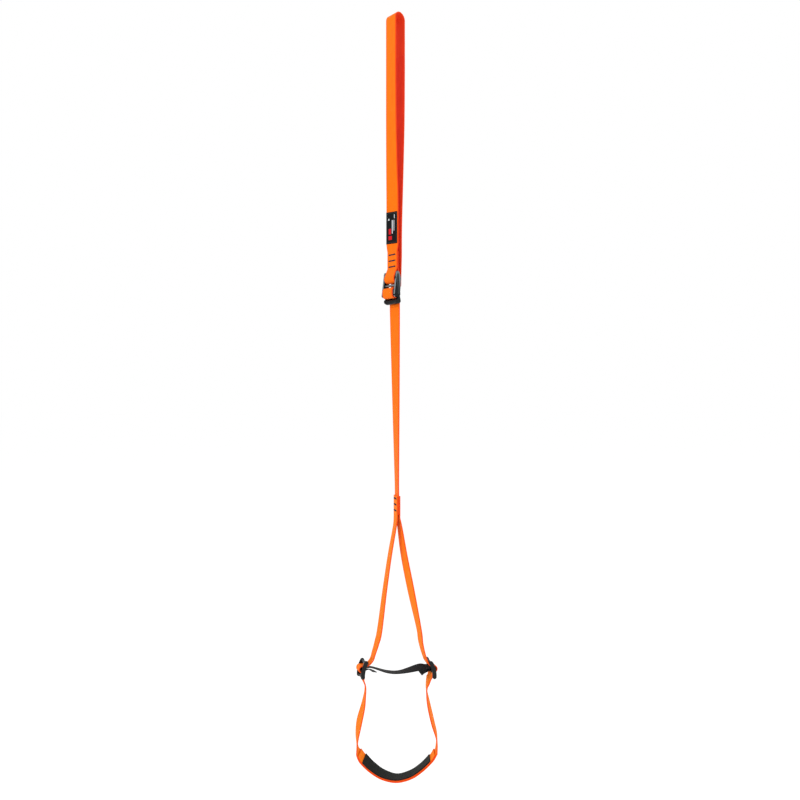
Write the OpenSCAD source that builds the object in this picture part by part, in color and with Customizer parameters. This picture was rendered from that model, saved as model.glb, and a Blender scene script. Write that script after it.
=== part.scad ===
// Adjustable webbing foot loop: a top loop for a connector, a length adjuster buckle,
// a main strap, and a stirrup with a padded step and a black instep strap.
// Millimetres, +Z up. The origin is the axis of the half round crown that a connector bears on.
// X runs across the stirrup, and a boot goes in along Y.

/* [Webbing] */
// Width of the load webbing
webbing_w = 25; // [20:0.5:32]
// Thickness of the load webbing
webbing_t = 2.1; // [1.4:0.1:2.6]
// Gap left between a strap and what it lies against
strap_gap = 0.2; // [0.15:0.05:0.4]

/* [Top loop] */
// Inner radius of the crown, where the connector bears
crown_r = 10; // [8:0.5:14]
// Length of the straight legs that belong to the crown
crown_leg = 60; // [40:1:90]
// Turn of the top loop and the buckle about the vertical
loop_turn = 45; // [30:1:60]
// Height from the crown's axis down to the buckle's top bar
loop_height = 465; // [380:5:600]
// Width of the blank label
label_w = 23; // [14:1:24]
// Height of the blank label
label_h = 57; // [40:1:70]
// Thickness of the blank label
label_t = 0.5; // [0.3:0.1:0.8]
// Turn of the label's stretch of webbing towards the viewer, against the buckle
label_turn = 14; // [0:1:18]

/* [Stitching] */
// Length of a bar tack across the webbing
tack_w = 17; // [12:1:20]
// Height of a bar tack along the webbing
tack_h = 2.4; // [1.5:0.1:4]
// How far a bar tack stands off the webbing
tack_t = 0.4; // [0.2:0.1:0.8]
// Distance from one bar tack to the next
tack_pitch = 10.7; // [8:0.1:14]

/* [Buckle] */
// Radius of the top bar that the sewn eye turns on
top_bar_r = 6; // [5:0.1:7]
// Radius of the bottom bar
bottom_bar_r = 5; // [4:0.1:6]
// Radius of the cross pin
cross_pin_r = 2; // [1.5:0.1:2.5]
// Thickness of each cheek
cheek_t = 3.4; // [3:0.1:5]
// Space between the webbing's edge and a cheek
cheek_gap = 0.8; // [0.6:0.1:3]
// Depth of the locking bar, front to back
lock_d = 8; // [6:0.5:9]
// Height of the locking bar
lock_h = 14; // [11:0.5:15]
// Radius of the rib along the front edge of each cheek
rib_r = 2.6; // [2:0.1:3.2]
// Radius that the frame's lower corners are rounded to
corner_r = 8; // [6:0.5:12]
// Depth of the tongue at each end of the locking bar, front to back
tongue_d = 4; // [3:0.1:4.4]
// Height of the tongue at each end of the locking bar
tongue_h = 4.6; // [4.4:0.1:6]
// How far a tongue reaches into its cheek
tongue_l = 2; // [1.5:0.1:2.2]
// Travel of the locking bar up from rest
lock_up = 1.8; // [1:0.1:2]
// Travel of the locking bar down from rest
lock_down = 2; // [1:0.1:2]
// Running clearance of the tongues in their slots
slot_gap = 0.1; // [0.05:0.01:0.2]
// Distance down from the top bar to the locking bar
lock_drop = 26.1; // [25:0.1:30]
// Distance down from the top bar to the bottom bar
bottom_drop = 40.7; // [39:0.1:48]

/* [Main strap] */
// Height from the buckle's top bar down to the top of the sewn junction
strap_length = 388.6; // [300:1:560]
// Turn of the junction about the vertical
stack_turn = 75; // [60:1:90]
// Length of the sewn junction
stack_h = 33; // [26:1:45]
// Sideways place of the stirrup's middle
hang_x = 2.7; // [0:0.1:4]

/* [Side sliders] */
// Height from the junction's top down to the sliders' middle bars
leg_drop = 309.5; // [260:1:360]
// Distance from the stirrup's middle to a slider's middle bar
leg_spread = 62; // [52:0.1:70]
// Length of a slider along the webbing
slider_l = 32; // [30:1:42]
// Depth of a slider's rail
rail_d = 7.5; // [5:0.5:9]
// Thickness of a slider's rail
rail_t = 3; // [2.5:0.1:5]
// Space between the webbing's edge and a rail
rail_gap = 0.5; // [0.4:0.1:1.5]
// Radius of a slider's middle bar
mid_bar_r = 2.2; // [1.8:0.1:2.6]
// Radius of a slider's end bars
end_bar_r = 2.3; // [1.8:0.1:2.8]
// Radius that a slider's rails are bowed to, hollow towards the inside
bow = 45; // [40:1:80]
// Lean of the left slider, top inwards
left_tilt = 17; // [10:1:24]
// Lean of the right slider, top inwards
right_tilt = 13; // [10:1:24]
// Turn of the sliders about the vertical, the far side to the left
slider_turn = 15; // [0:1:20]
// Roll of the left slider, the near side up
left_roll = 9; // [0:1:12]
// Roll of the right slider, the near side up
right_roll = 5; // [0:1:12]
// How far the webbing stands out over a middle bar
bulge = 6.8; // [6.4:0.1:10]

/* [Instep strap] */
// Width of the instep strap
instep_w = 20; // [15:0.5:25]
// Thickness of the instep strap
instep_t = 1.4; // [1:0.1:1.8]
// How far the instep strap sags below the sliders
instep_sag = 9; // [4:0.5:20]
// Length of the instep strap's free tails
tail_l = 24; // [15:1:30]

/* [Step] */
// Height from the sliders' middle bars down to the step's middle
step_drop = 201.5; // [170:0.5:240]
// Half the width of the stirrup at the step
step_half = 72.5; // [60:0.5:90]
// Thickness of the step's pad
pad_t = 1.8; // [1:0.1:3]
// How far the step's pad stands out past each edge of the webbing
pad_over = 0.3; // [0:0.1:1]
// Width of a line of stitching
seam_w = 1; // [0.6:0.1:1.5]

/* [Hidden] */

orange = [1.0, 0.45, 0.06];
deep_orange = [0.93, 0.30, 0.08];
black = [0.10, 0.11, 0.12];
steel = [0.45, 0.46, 0.47];
thread = [0.16, 0.17, 0.25];
// Space left between straps that go with different bodies, more for thicker webbing
split = webbing_t / 7;
// Stations from one control point of a route to the next
steps = 4;
half_t = webbing_t / 2;
// Distance between the middles of two webbings that lie on each other
layer = webbing_t + 0.1;

// ---- Directions and routes -------------------------------------------------
// A route's point is [x, y, z, turn, roll]. The width of the strap lies along
// [cos turn, -sin turn], raised by roll, and is then squared to the route.

function unit(v) = v / norm(v);
function place(p) = [p[0], p[1], p[2]];
function mix(a, b, f) = a + (b - a) * f;
function turned(v, a) = [v[0] * cos(a) - v[1] * sin(a), v[0] * sin(a) + v[1] * cos(a), v[2]];
function rolled(v, a) = [v[0], v[1] * cos(a) - v[2] * sin(a), v[1] * sin(a) + v[2] * cos(a)];
function leaned(v, a) = [v[0] * cos(a) + v[2] * sin(a), v[1], v[2] * cos(a) - v[0] * sin(a)];

// A smooth curve through four points in turn, at t from the second to the third
function between(p, q, r, s, t) =
    0.5 * (2 * q + (r - p) * t + (2 * p - 5 * q + 4 * r - s) * t * t
           + (3 * q - p - 3 * r + s) * t * t * t);

function smooth(c, n = steps) =
    let (last = len(c) - 1)
    [for (i = [0:last - 1], k = [0:n - 1])
        between(i == 0 ? 2 * c[0] - c[1] : c[i - 1], c[i], c[i + 1],
                i + 2 > last ? 2 * c[last] - c[last - 1] : c[i + 2], k / n),
     c[last]];

function width_way(p, t) =
    let (w = [cos(p[3]) * cos(p[4]), -sin(p[3]) * cos(p[4]), sin(p[4])])
    unit(w - (w * t) * t);

// Each station is its middle, its width direction and its outward direction
function stations(p) =
    let (last = len(p) - 1)
    [for (i = [0:last])
        let (t = unit(place(p[min(i + 1, last)]) - place(p[max(i - 1, 0)])),
             w = width_way(p[i], t))
        [place(p[i]), w, cross(t, w)]];

function part_of(s, a, b) = [for (i = [a:b]) s[i]];

// A flat strap along stations, off its route by that much outwards. Both faces are split
// along the same diagonals, so straps that lie on each other stay apart where they twist.
module ribbon(s, w = webbing_w, t = webbing_t, off = 0) {
    last = len(s) - 1;
    points = [for (q = s, c = [[1, 1], [-1, 1], [-1, -1], [1, -1]])
        q[0] + q[1] * c[0] * w / 2 + q[2] * (off + c[1] * t / 2)];
    sides = [for (i = [0:last - 1], k = [0:3])
        let (a = 4 * i + k, b = 4 * i + (k + 1) % 4)
        each k == 2 ? [[a, a + 4, b], [b, a + 4, b + 4]] : [[a, b + 4, b], [a, a + 4, b + 4]]];
    ends = [[0, 1, 2], [0, 2, 3],
            [4 * last + 2, 4 * last + 1, 4 * last], [4 * last + 3, 4 * last + 2, 4 * last]];
    polyhedron(points, concat(sides, ends));
}

// ---- Heights ----------------------------------------------------------------
pin_z = -loop_height;
stack_z = pin_z - strap_length;
stack_end_z = stack_z - stack_h;
slider_z = stack_z - leg_drop;
step_z = slider_z - step_drop;

// ---- Top loop and buckle, in the loop's own frame ----------------------------
// There x runs along the crown and the buckle's bars, and -y is the front.
module loop_frame() { rotate([0, 0, -loop_turn]) children(); }

crown_mid = crown_r + half_t;
// Depth of the front leg's webbing in front of the loop's middle plane
front_d = 7.6;
// Depth of the rear leg's webbing, behind the plane
rear_d = -3.4;
// Depth of the rear leg's webbing where it goes into the buckle, behind the plane
rear_in_d = -1.7;
// Depth of the top bar in front of the plane
top_bar_d = 8.5;
// Depth of the bottom bar in front of the plane
bottom_bar_d = 8;
// Depth of the locking bar in front of the plane
lock_bar_d = bottom_bar_d + 6.8;
cross_pin_d = 12.4;
cross_pin_drop = 12.8;
cheek_in = webbing_w / 2 + cheek_gap;
cheek_out = cheek_in + cheek_t;
lock_z = pin_z - lock_drop;
bottom_z = pin_z - bottom_drop;

tack_top_z = pin_z + 43.4;
label_z = tack_top_z + 48.3;
label_top_z = label_z + label_h / 2 + 9;
label_low_z = label_z - label_h / 2 - 2;
return_top_z = tack_top_z + 5.5;

module loop_crown() color(orange) loop_frame()
    union() {
        rotate([0, 90, 0]) difference() {
            cylinder(r = crown_r + webbing_t, h = webbing_w, center = true, $fn = 96);
            cylinder(r = crown_r, h = webbing_w + 1, center = true, $fn = 96);
            translate([crown_mid * 2, 0, 0]) cube(crown_mid * 4, center = true);
        }
        for (s = [-1, 1])
            translate([-webbing_w / 2, s * crown_mid - half_t, -crown_leg])
                cube([webbing_w, webbing_t, crown_leg]);
    }

// From the crown's legs the front and rear legs close up towards the buckle
front_leg_route = [for (p = [
        [crown_mid, 0, 0], [crown_mid, 0.12, 0], [mix(crown_mid, front_d, 0.1), 0.4, 2],
        [mix(crown_mid, front_d, 0.45), 0.7, 7], [mix(crown_mid, front_d, 0.9), 0.9, label_turn - 1],
        [front_d, 1, label_turn]])
    [0, -p[0], mix(-crown_leg - split, label_top_z + split, p[1]), -p[2], 0]];

rear_leg_end_z = pin_z + 42;
rear_leg_route = [for (p = [
        [crown_mid, 0], [crown_mid, 0.1], [mix(crown_mid, -rear_d, 0.12), 0.35],
        [mix(crown_mid, -rear_d, 0.5), 0.6], [mix(crown_mid, -rear_d, 0.93), 0.85],
        [-rear_d, 1]])
    [0, p[0], mix(-crown_leg - split, rear_leg_end_z + split, p[1]), 0, 0]];

module loop_front_leg() color(orange) loop_frame()
    ribbon(stations(smooth(front_leg_route, 5)));

module loop_rear_leg() color(deep_orange) loop_frame()
    ribbon(stations(smooth(rear_leg_route, 5)));

// Angle at which a line from a point outside touches a circle, on the side s
function touch(from, centre, r, s) =
    let (v = from - centre) atan2(v[1], v[0]) + s * acos(r / norm(v));

// Points [depth, height] on an arc
function arc(centre, r, a, b, n) =
    [for (i = [0:n]) centre + r * [cos(mix(a, b, i / n)), sin(mix(a, b, i / n))]];

eye_r = top_bar_r + strap_gap + half_t;
eye_centre = [top_bar_d, pin_z];
eye_front = [front_d, pin_z + 19];
eye_back = [front_d - layer, pin_z + 19];
eye_a = touch(eye_front, eye_centre, eye_r, -1);
eye_b = touch(eye_back, eye_centre, eye_r, 1);
eye_route = concat(
    [for (p = [[label_top_z, 1], [label_low_z, 1], [label_low_z - 6, 0.5], [label_low_z - 12, 0]])
        [0, -front_d, p[0], -label_turn * p[1], 0]],
    [for (p = concat([eye_front], arc(eye_centre, eye_r, eye_a, eye_b - 360, 26),
                     [eye_back, [front_d - layer, return_top_z]]))
        [0, -p[0], p[1], 0, 0]]);

module eye_webbing() color(orange) loop_frame() ribbon(stations(eye_route));

// One line of bar tack on each face of a stack of webbings, n along the stack's normal
module tack(across, high) {
    for (s = [-1, 1])
        translate([0, s * (across + tack_t / 2 + 0.05), high])
            cube([tack_w, tack_t, tack_h], center = true);
}

module eye_tacks() color(thread) loop_frame()
    for (i = [0:2])
        translate([0, -(front_d - layer / 2), 0])
            tack(layer / 2 + half_t, tack_top_z - i * tack_pitch);

module blank_label() color(black) loop_frame()
    translate([0, -front_d, label_z]) rotate([0, 0, label_turn])
        translate([-(webbing_w - label_w) / 2 + 0.2, -half_t - label_t / 2 - 0.05, 0])
            cube([label_w, label_t, label_h], center = true);

// The webbing through the buckle: forward over the locking bar, back and down behind
// the bottom bar
fold_r = lock_d / 2 + strap_gap + half_t;
over_centre = [lock_bar_d, lock_z + lock_h / 2 - lock_d / 2];
under_centre = [lock_bar_d, lock_z - lock_h / 2 + lock_d / 2];
low_centre = [bottom_bar_d, bottom_z];
low_r = bottom_bar_r + strap_gap + half_t;
under_way = low_centre - under_centre;
under_a = atan2(under_way[1], under_way[0]) + acos((fold_r + low_r) / norm(under_way));
fold_top_z = pin_z - 5;
fold_end_z = bottom_z - 9;
fold_route = [for (p = concat(
        [[rear_in_d, fold_top_z], [rear_in_d, fold_top_z - 3]],
        arc([rear_in_d + 8, over_centre[1] + fold_r + 8], 8, 180, 262, 7),
        arc(over_centre, fold_r, 96, 0, 10),
        arc(under_centre, fold_r, 0, under_a, 10),
        arc(low_centre, low_r, under_a + 180, 180, 8),
        [[bottom_bar_d - low_r, fold_end_z]]))
    [0, -p[0], p[1], 0, 0]];

module fold_webbing() color(orange) loop_frame() ribbon(stations(fold_route));

rear_tail_route = [for (f = [0:0.2:1])
    [0, -mix(rear_d, rear_in_d, f), mix(rear_leg_end_z, fold_top_z + split, f), 0, 0]];

module rear_leg_tail() color(deep_orange) loop_frame() ribbon(stations(rear_tail_route));

// Side view of a cheek as [depth, height from the top bar]: a rounded top, a front edge
// that runs out to an apex by the locking bar, a notch, and a round foot at the bottom bar
cheek_top = [top_bar_d + 1.3, 9];
cheek_apex = [lock_bar_d + 0.8, -lock_drop - 3.9];
cheek_outline = concat(
    arc(cheek_top, 3.4, 165, 40, 8),
    arc(cheek_apex, 3.2, 12, -100, 8),
    [[bottom_bar_d + 2.2, -bottom_drop + 5.9]],
    arc([bottom_bar_d, -bottom_drop], bottom_bar_r + 0.3, 75, -170, 16),
    [[5.6, -31], [3.6, -16], [2.2, 0]]);
rib_from = cheek_top - [-1.2, 1.5];
rib_to = cheek_apex - [0.2, -1];

// The locking bar's section, or a larger or smaller one, as two circles and a block
module bar_section(d, h, long) {
    for (s = [-1, 1])
        translate([0, 0, s * (h - d) / 2]) rotate([0, 90, 0])
            cylinder(d = d, h = long, center = true, $fn = 48);
    cube([long, d, h - d], center = true);
}

module rib() {
    way = rib_to - rib_from;
    translate([0, -rib_from[0], rib_from[1]])
        rotate([-90 - atan2(way[1], -way[0]) + 180, 0, 0]) {
            cylinder(r = rib_r, h = norm(way), $fn = 64);
            sphere(r = rib_r, $fn = 64);
            translate([0, 0, norm(way)]) sphere(r = rib_r, $fn = 64);
        }
}

// The blind slot for a tongue and the blind hole for the cross pin, cut from inside
module cheek_sockets() {
    translate([0, -lock_bar_d, -lock_drop + (lock_up - lock_down) / 2])
        bar_section(tongue_d + 2 * slot_gap, tongue_h + lock_up + lock_down + 2 * slot_gap,
                    2 * (cheek_in + tongue_l + 0.3));
    translate([0, -cross_pin_d, -cross_pin_drop]) rotate([0, 90, 0])
        cylinder(r = cross_pin_r + 0.02, h = 2 * (cheek_in + tongue_l), center = true, $fn = 48);
}

// What the frame's lower corners are rounded by, seen from the front
module corner_limit() {
    rise = 70;
    translate([0, -9, -bottom_drop - bottom_bar_r - 0.8]) rotate([90, 0, 0])
        linear_extrude(40, center = true) union() {
            for (s = [-1, 1]) translate([s * (cheek_out - corner_r), corner_r]) circle(corner_r, $fn = 96);
            translate([-cheek_out, corner_r]) square([2 * cheek_out, rise]);
            translate([corner_r - cheek_out, 0]) square([2 * (cheek_out - corner_r), rise]);
        }
}

module cross_bar(d, drop, r)
    translate([0, -d, -drop]) rotate([0, 90, 0])
        cylinder(r = r, h = 2 * cheek_in + cheek_t, center = true, $fn = 64);

module buckle_frame() color(black) loop_frame()
    translate([0, 0, pin_z]) {
        difference() {
            union() {
                intersection() {
                    for (s = [-1, 1]) translate([s * (cheek_in + cheek_t / 2), 0, 0])
                        rotate([90, 0, -90])
                            linear_extrude(cheek_t, center = true) polygon(cheek_outline);
                    corner_limit();
                }
                for (s = [-1, 1]) translate([s * (cheek_in + rib_r - 0.4), 0, 0]) rib();
            }
            cheek_sockets();
        }
        cross_bar(top_bar_d, 0, top_bar_r);
        intersection() {
            cross_bar(bottom_bar_d, bottom_drop, bottom_bar_r);
            corner_limit();
        }
    }

module cross_pin() color(steel) loop_frame()
    translate([0, -cross_pin_d, pin_z - cross_pin_drop]) rotate([0, 90, 0])
        cylinder(r = cross_pin_r, h = 2 * (cheek_in + tongue_l - 0.1), center = true, $fn = 48);

module locking_bar() color(steel) loop_frame()
    translate([0, -lock_bar_d, lock_z]) {
        bar_section(lock_d, lock_h, 2 * (cheek_in - 0.8));
        bar_section(tongue_d, tongue_h, 2 * (cheek_in + tongue_l));
    }

// ---- Main strap ----------------------------------------------------------------
// It twists from the buckle's direction to the junction's as it hangs.
strap_start = turned([0, -(bottom_bar_d - low_r), 0], -loop_turn);
runout_z = fold_end_z - 66;
swing_z = stack_z + 4;
bend_z = swing_z + 18;
strap_end_z = bend_z + 40;
function strap_at(z) =
    let (f = (fold_end_z - 6 - z) / (fold_end_z - 6 - bend_z),
         g = (fold_end_z - z) / (fold_end_z - swing_z))
    [mix(strap_start[0], hang_x, g), mix(strap_start[1], 0, g), z,
     mix(loop_turn, stack_turn, max(0, min(1, f))), 0];

function strap_run(a, b, n) = stations([for (i = [0:n]) strap_at(mix(a, b, i / n))]);

module strap_runout() color(orange) ribbon(strap_run(fold_end_z - split, runout_z, 6));
module main_strap() color(orange) ribbon(strap_run(runout_z - split, strap_end_z, 20));
module strap_end() color(orange) ribbon(strap_run(strap_end_z - split, bend_z, 4));
module strap_bend() color(orange) ribbon(strap_run(bend_z - split, swing_z, 3));

// ---- Sewn junction ---------------------------------------------------------------
module stack_frame() { translate([hang_x, 0, 0]) rotate([0, 0, -stack_turn]) children(); }

module strap_tail() color(orange) stack_frame()
    translate([-webbing_w / 2, -half_t, stack_end_z])
        cube([webbing_w, webbing_t, swing_z - split - stack_end_z]);

module junction_tacks() color(thread) stack_frame()
    for (i = [0:2]) tack(layer + half_t, stack_z - 5 - i * tack_pitch);

// ---- Stirrup webbing ---------------------------------------------------------------
// A slider stands at its middle bar, leans top inwards and turns about the vertical.
// s is -1 for the left one and 1 for the right one, u runs down it and o outwards.
// How far the left slider hangs further out and lower than the right one
left_out = 1.6;
left_low = 1.8;
function slider_spot(s) =
    s < 0 ? [hang_x - leg_spread - left_out, 0, slider_z - left_low] : [hang_x + leg_spread, 0, slider_z];
function tilt_of(s) = s < 0 ? left_tilt : right_tilt;
function roll_of(s) = s < 0 ? left_roll : right_roll;
function on_slider(s, u, o) =
    slider_spot(s) + turned(leaned(rolled([s * o, 0, -u], -roll_of(s)), -s * tilt_of(s)), slider_turn);
width_turn = 90 - slider_turn;

// Where the webbing lies against the inner side of a slider's end bars
end_bar_u = (slider_l - rail_d) / 2;
bow_in = bow - sqrt(bow * bow - end_bar_u * end_bar_u);
lap_o = -bow_in - end_bar_r - strap_gap - half_t - 0.8;
function slider_points(s, rows) = [for (q = rows) slider_row(s, on_slider(s, q[0], q[1]))];
function lapped(from) =
    [[from, lap_o], [from * 0.52, lap_o * 0.42], [from * 0.33, bulge * 0.72], [0, bulge]];
function slider_row(s, p) = [p[0], p[1], p[2], width_turn, roll_of(s)];

top_lap = -end_bar_u - 0.5;
low_lap = end_bar_u + 0.5;
// Where the webbing comes in above a slider and goes out below it, away from its bars
// Above the left slider it hangs clear of the end bar and slants in
slanted = [[top_lap + 1.15, lap_o - 4.75], [top_lap * 0.5, lap_o * 0.56],
           [top_lap * 0.33, bulge * 0.72], [0, bulge]];
function upper_end(s) = on_slider(s, top_lap - (s < 0 ? 6.5 : 6), lap_o - (s < 0 ? 8.4 : 1.2));
function lower_end(s) = on_slider(s, low_lap + 5, lap_o - (s < 0 ? 0.5 : 4.5));

// Upper leg from the junction to the slider: share of the way out, share of the way
// down, turn
left_upper = [[0.05, 0.095, 78], [0.249, 0.285, 76], [0.4535, 0.52, 73.5],
              [0.667, 0.795, 69.5], [0.785, 0.882, 71], [0.909, 0.952, 74]];
right_upper = [[0.064, 0.095, 70], [0.218, 0.285, 62], [0.465, 0.52, 60],
               [0.77, 0.795, 70], [0.831, 0.882, 72], [0.918, 0.952, 74]];
function layer_spot(s, z) =
    let (p = [hang_x, 0, z] + turned([0, s * layer, 0], -stack_turn)) [p[0], p[1], z, stack_turn, 0];
function upper_leg(s, shares) =
    let (a = layer_spot(s, stack_end_z), b = upper_end(s))
    concat([layer_spot(s, stack_z), a, layer_spot(s, stack_end_z - 6)],
           [for (q = shares)
               [mix(a[0], b[0], q[0]), mix(a[1], b[1], q[0]), mix(a[2], b[2], q[1]), q[2],
                roll_of(s) * q[1] * q[1]]],
           [slider_row(s, b)]);

// Lower leg and half the step: share of the half width, share of the drop, turn
left_lower = [[0.79, 0.07, 82], [0.79, 0.144, 84], [0.838, 0.268, 75], [0.938, 0.432, 68],
              [0.993, 0.583, 78], [0.985, 0.70, 92]];
right_lower = [[0.745, 0.05, 86], [0.735, 0.134, 91], [0.786, 0.258, 99], [0.883, 0.426, 100],
               [0.985, 0.583, 93], [0.98, 0.705, 88]];
// Roll of the step's middle, the near side up
step_roll = 4;
// Half the step: share of the half width, share of the drop, then turn and roll on the
// left and on the right
half_step = [[0.955, 0.737, 99, -7, 85, 5], [0.855, 0.80, 104, -10, 83, 8],
             [0.63, 0.89, 100, -8, 85, 7], [0.355, 0.963, 94, -4, 88, 4]];
function lower_leg(s, shares) =
    let (a = lower_end(s))
    concat([slider_row(s, a)],
           [for (q = shares)
               [hang_x + s * q[0] * step_half, 0, mix(a[2], step_z, q[1]), q[2], 0]],
           [for (q = half_step)
               [hang_x + s * q[0] * step_half, 0, mix(a[2], step_z, q[1]),
                q[s < 0 ? 2 : 4], q[s < 0 ? 3 : 5]]]);

function side_route(s, upper, lower) =
    concat(upper_leg(s, upper),
           slider_points(s, s < 0 ? slanted : lapped(top_lap)),
           [for (i = [2:-1:0]) slider_points(s, lapped(low_lap))[i]],
           lower_leg(s, lower));

function backwards(v) = [for (i = [len(v) - 1:-1:0]) v[i]];

left_side = side_route(-1, left_upper, left_lower);
right_side = side_route(1, right_upper, right_lower);
stirrup_route = concat(left_side, [[hang_x, 0, step_z, 90, step_roll]], backwards(right_side));
stirrup = stations(smooth(stirrup_route));
stirrup_last = len(stirrup) - 1;

// Control points at which the stirrup's webbing is divided
flex_from = 5;
slider_from = 9;
slider_to = 17;
step_from = 20;
tab_at = 24;
pad_at = 25;

// Stations from one control point to another, on the left side or, for s = 1, the right
function side_part(s, a, b) =
    let (i = a * steps, j = b * steps)
    s < 0 ? part_of(stirrup, i, j) : part_of(stirrup, stirrup_last - j, stirrup_last - i);

// Draws one station's worth of gap at the end that meets another body
function eased(q, other, by) = [q[0] + unit(other[0] - q[0]) * by, q[1], q[2]];
// Leaves out the stations beside a cut, where a twisting strap would fold back past it
beside_cut = 3;
function trimmed(v) =
    let (n = len(v) - 1)
    concat([eased(v[0], v[1], split / 2)], part_of(v, beside_cut, n - beside_cut),
           [eased(v[n], v[n - 1], split / 2)]);

module left_leg_top() color(orange) ribbon(trimmed(side_part(-1, 0, flex_from)));
module right_leg_top() color(deep_orange) ribbon(trimmed(side_part(1, 0, flex_from)));
module left_leg_flex() color(orange) ribbon(trimmed(side_part(-1, flex_from, slider_from)));
module right_leg_flex() color(deep_orange) ribbon(trimmed(side_part(1, flex_from, slider_from)));
module left_bulge() color(orange) ribbon(trimmed(side_part(-1, slider_from, slider_to)));
module right_bulge() color(orange) ribbon(trimmed(side_part(1, slider_from, slider_to)));
module left_lower_flex() color(orange) ribbon(trimmed(side_part(-1, slider_to, step_from)));
module right_lower_flex() color(orange) ribbon(trimmed(side_part(1, slider_to, step_from)));

function step_part(from) =
    part_of(stirrup, from * steps, stirrup_last - from * steps);

module step_webbing() color(orange) ribbon(trimmed(step_part(step_from)));
module step_layer() color(orange) ribbon(step_part(tab_at), off = -layer);
pad_off = -layer - half_t - 0.05 - pad_t / 2;
module step_pad() color(black)
    ribbon(step_part(pad_at), w = webbing_w + 2 * pad_over, t = pad_t, off = pad_off);

// Two rows of stitching under the step and a bar at each end of the inner layer
module step_stitching() color(thread) {
    under = half_t + 0.1 + tack_t / 2;
    for (s = [-1, 1])
        ribbon([for (q = step_part(tab_at)) [q[0] + q[1] * s * (webbing_w / 2 - 3), q[1], q[2]]],
               w = seam_w, t = tack_t, off = under);
}

// ---- Side sliders -----------------------------------------------------------------
module slider_frame(s) {
    p = slider_spot(s);
    translate(p) rotate([0, 0, slider_turn]) rotate([0, -s * tilt_of(s), 0])
        rotate([-roll_of(s), 0, 0]) children();
}

rail_in = webbing_w / 2 + rail_gap;
rail_sweep = asin(end_bar_u / bow);

// A bowed rail with round ends, about the centre of its bow
module rail() {
    rotate([0, 0, -rail_sweep]) rotate_extrude(angle = 2 * rail_sweep, $fn = 180)
        translate([bow - rail_d / 2, -rail_t / 2]) square([rail_d, rail_t]);
    for (a = [-rail_sweep, rail_sweep])
        rotate([0, 0, a]) translate([bow, 0, 0]) cylinder(r = rail_d / 2, h = rail_t, center = true, $fn = 48);
}

module slider(s) {
    rotate([0, 0, s < 0 ? 180 : 0]) {
        for (side = [-1, 1])
            translate([-bow, side * (rail_in + rail_t / 2), 0]) rotate([90, 0, 0]) rail();
        for (u = [-end_bar_u, end_bar_u])
            translate([-bow_in, 0, u]) rotate([90, 0, 0])
                cylinder(r = end_bar_r, h = 2 * rail_in + rail_t, center = true, $fn = 32);
        rotate([90, 0, 0])
            cylinder(r = mid_bar_r, h = 2 * rail_in + rail_t, center = true, $fn = 32);
    }
}

module left_slider() color(black) slider_frame(-1) slider(-1);
module right_slider() color(black) slider_frame(1) slider(1);

// ---- Instep strap -------------------------------------------------------------------
// It goes round each slider's middle bar, under the webbing, and ends in a free tail.
wrap_r = mid_bar_r + strap_gap + instep_t / 2;
function wrap(s) =
    [for (i = [0:10]) let (a = mix(-8, 188, i / 10))
        slider_row(s, on_slider(s, -wrap_r * cos(a), wrap_r * sin(a)))];
// A free tail: it leaves below the bar, sags, and turns and rolls towards its end. Each
// row is a share of its length inwards and of its drop.
function tail(s, rows, drop, turn, roll) =
    [for (q = rows)
        let (p = slider_spot(s) + turned([-s * q[0] * tail_l, 0, 0], slider_turn))
        [p[0], p[1], p[2] - wrap_r - q[1] * (drop - wrap_r),
         mix(width_turn, turn, q[0]), mix(roll_of(s), roll, q[0])]];
left_tail = [[0.04, 0.04], [0.16, 0.03], [0.36, -0.16], [0.58, -0.08], [0.80, 0.4], [1, 1]];
right_tail = [[0.04, 0.02], [0.16, 0], [0.36, -0.02], [0.66, 0.42], [0.88, 1]];
// The strap between the sliders leaves above each bar
function lead(s, out, rise, roll) =
    let (p = on_slider(s, -wrap_r, -out), f = min(1, out / 9))
    [p[0], p[1] * (1 - 0.4 * f), p[2] + rise, mix(width_turn, 90, 0.5 * f), roll];

sag_z = slider_z - instep_sag + 1;
instep_route = concat(
    backwards(tail(-1, left_tail, 8.8, 80, 28)), backwards(wrap(-1)),
    [lead(-1, 1.6, 0, 9), lead(-1, 4, 0.3, 9.5), lead(-1, 9, 1.8, 12), lead(-1, 20, 3.6, 13)],
    [[hang_x - 17, 0, sag_z + 0.5, 88, 8], [hang_x + 5, 0, sag_z, 90, 4]],
    [lead(1, 24, 4, -14), lead(1, 10, 1, -6), lead(1, 4, 0.2, 2), lead(1, 1.6, 0, 5)],
    wrap(1), tail(1, right_tail, 8.6, 70, 4));

module instep_strap() color(black)
    ribbon(stations(smooth(instep_route, 2)), w = instep_w, t = instep_t);

loop_crown();
loop_front_leg();
loop_rear_leg();
eye_webbing();
eye_tacks();
blank_label();
rear_leg_tail();
strap_runout();
buckle_frame();
cross_pin();
fold_webbing();
locking_bar();
main_strap();
strap_end();
strap_bend();
strap_tail();
left_leg_top();
right_leg_top();
junction_tacks();
left_leg_flex();
right_leg_flex();
left_lower_flex();
right_lower_flex();
step_webbing();
step_layer();
step_pad();
step_stitching();
left_slider();
right_slider();
left_bulge();
right_bulge();
instep_strap();
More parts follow.
